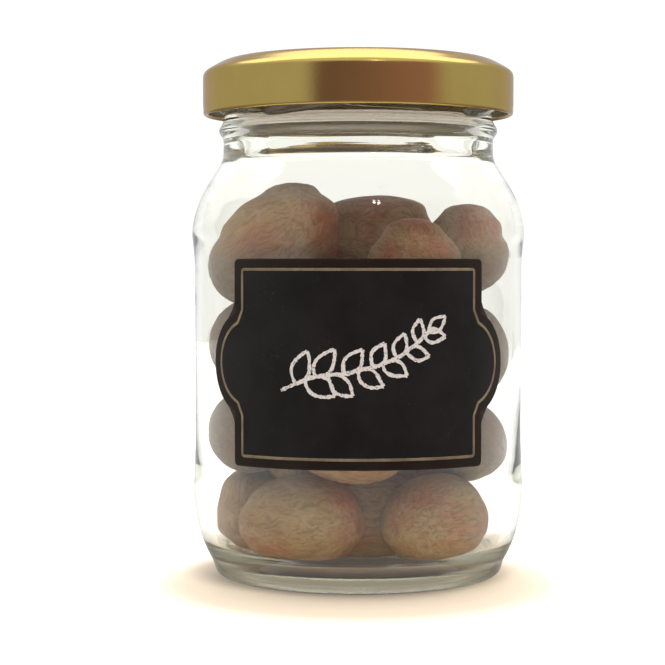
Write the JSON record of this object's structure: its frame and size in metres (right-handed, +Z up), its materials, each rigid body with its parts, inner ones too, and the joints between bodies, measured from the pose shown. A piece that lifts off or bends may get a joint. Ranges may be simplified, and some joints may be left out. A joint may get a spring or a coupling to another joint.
{
  "type": "jar of whole nutmegs",
  "caption": "Clear glass twist-off jar packed with whole nutmegs, shut with a gold metal lid and with a black plaque-shaped label on its front.",
  "frame": {"origin": "centre of the jar's base, at the height of the surface it stands on", "axes": "+Z up along the jar's axis, -Y towards the side with the label, +X to its right"},
  "size_m": [0.0604, 0.0604, 0.0935],
  "materials": {
    "glass": "clear polished soda-lime glass, faintly green",
    "gold_lacquer": "gold lacquered tinplate, satin gloss",
    "label_paper": "matt black chalkboard paper with a thin gold line",
    "nutmeg": "dull, furrowed nutmeg shell, grey-brown with a lime bloom"
  },
  "bodies": {
    "root": {"jar": "glass", "lid": "gold_lacquer", "label": "label_paper", "nutmegs": "nutmeg"}
  },
  "joints": []
}
